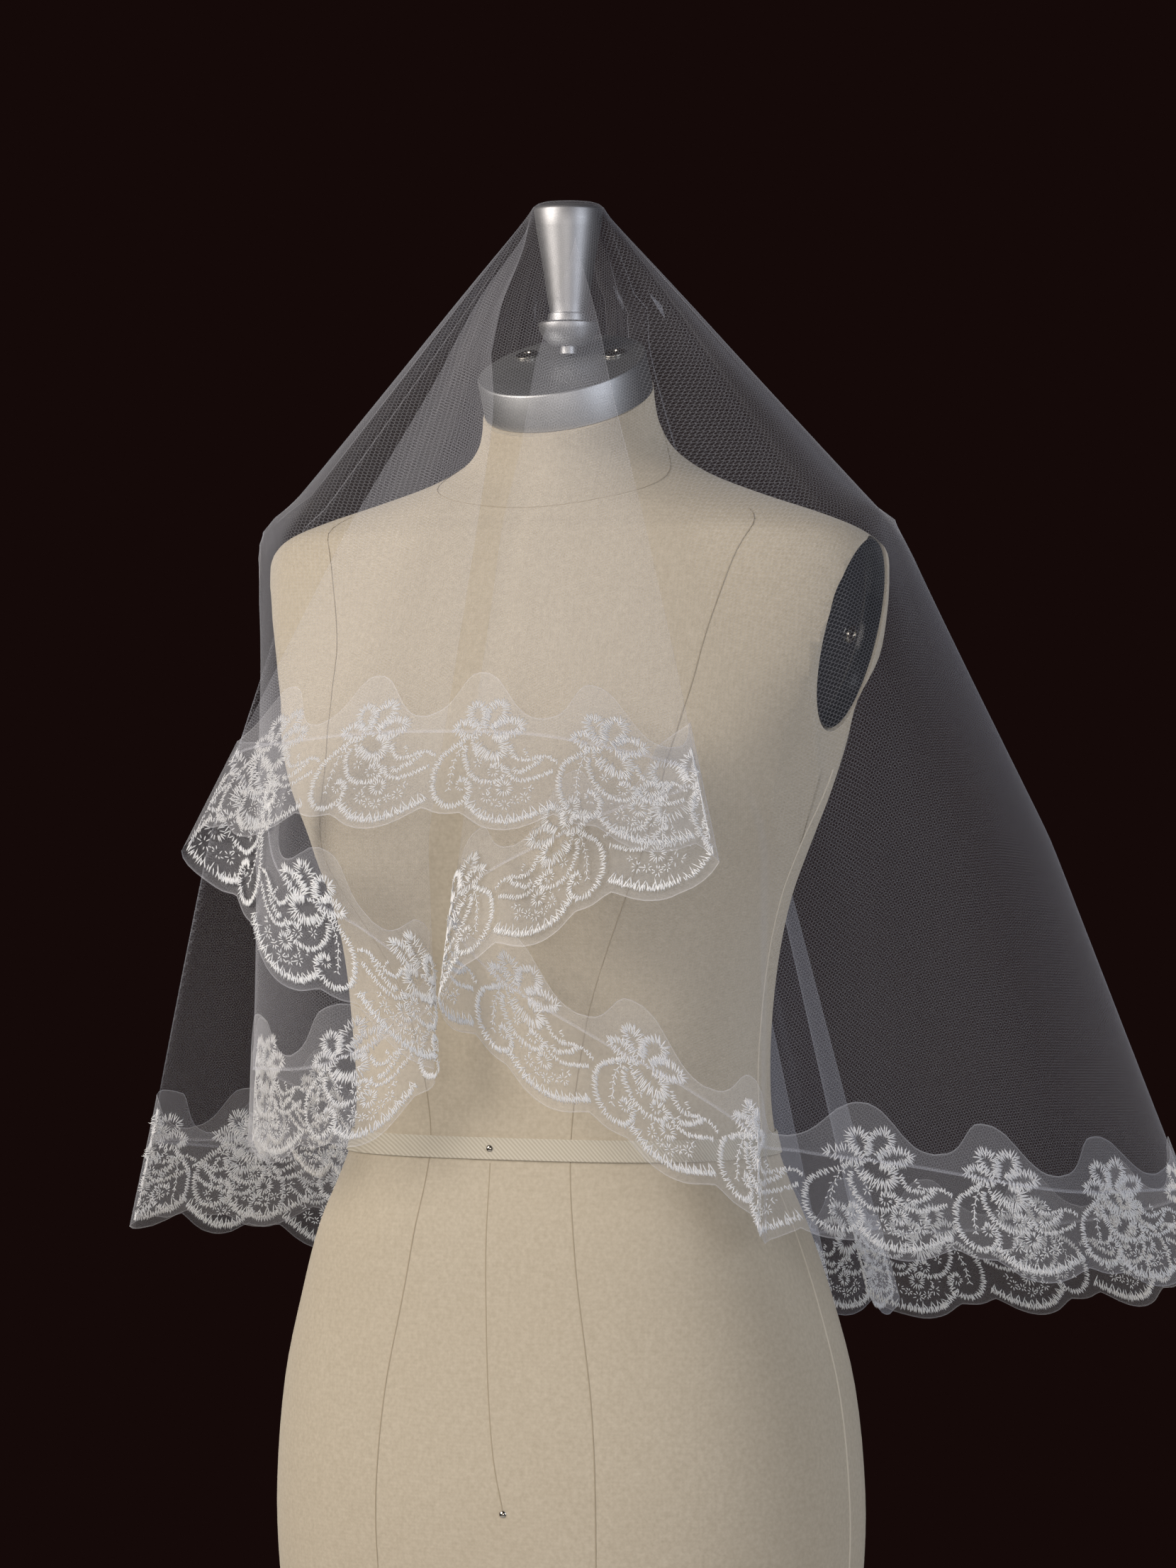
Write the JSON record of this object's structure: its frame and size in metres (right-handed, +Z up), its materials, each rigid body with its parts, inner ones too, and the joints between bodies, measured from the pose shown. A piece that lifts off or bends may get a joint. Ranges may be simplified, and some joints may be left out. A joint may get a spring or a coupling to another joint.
{
  "type": "bridal veil on dress form",
  "caption": "Short tulle bridal veil with an embroidered scalloped edging, draped over the finial of a limbless dress form on a pole stand.",
  "frame": {"origin": "centre of the base's underside, where the pole's axis meets the floor", "axes": "+Z up along the pole, -Y is the form's front, +X is the form's left-hand side as worn"},
  "size_m": [0.6363, 0.5519, 1.5676],
  "materials": {
    "white_tulle": "sheer white bobbinet tulle",
    "embroidered_organza": "sheer white organza with satin-stitch embroidery",
    "beige_linen": "beige linen, plain weave",
    "twill_tape": "cotton twill tape",
    "brushed_aluminium": "brushed and satin aluminium",
    "smoked_acrylic": "smoked acrylic, glossy",
    "painted_cast_iron": "satin black paint"
  },
  "bodies": {
    "root": {"veil_tulle": "white_tulle", "lace_edging": "embroidered_organza", "torso": "beige_linen", "waist_tape": "twill_tape", "neck_plate": "brushed_aluminium", "finial_collar": "brushed_aluminium", "finial_cup": "brushed_aluminium", "arm_plate_left": "smoked_acrylic", "arm_plate_right": "smoked_acrylic", "arm_screw_left": "brushed_aluminium", "arm_screw_right": "brushed_aluminium", "pole": "brushed_aluminium", "base": "painted_cast_iron"}
  },
  "joints": []
}
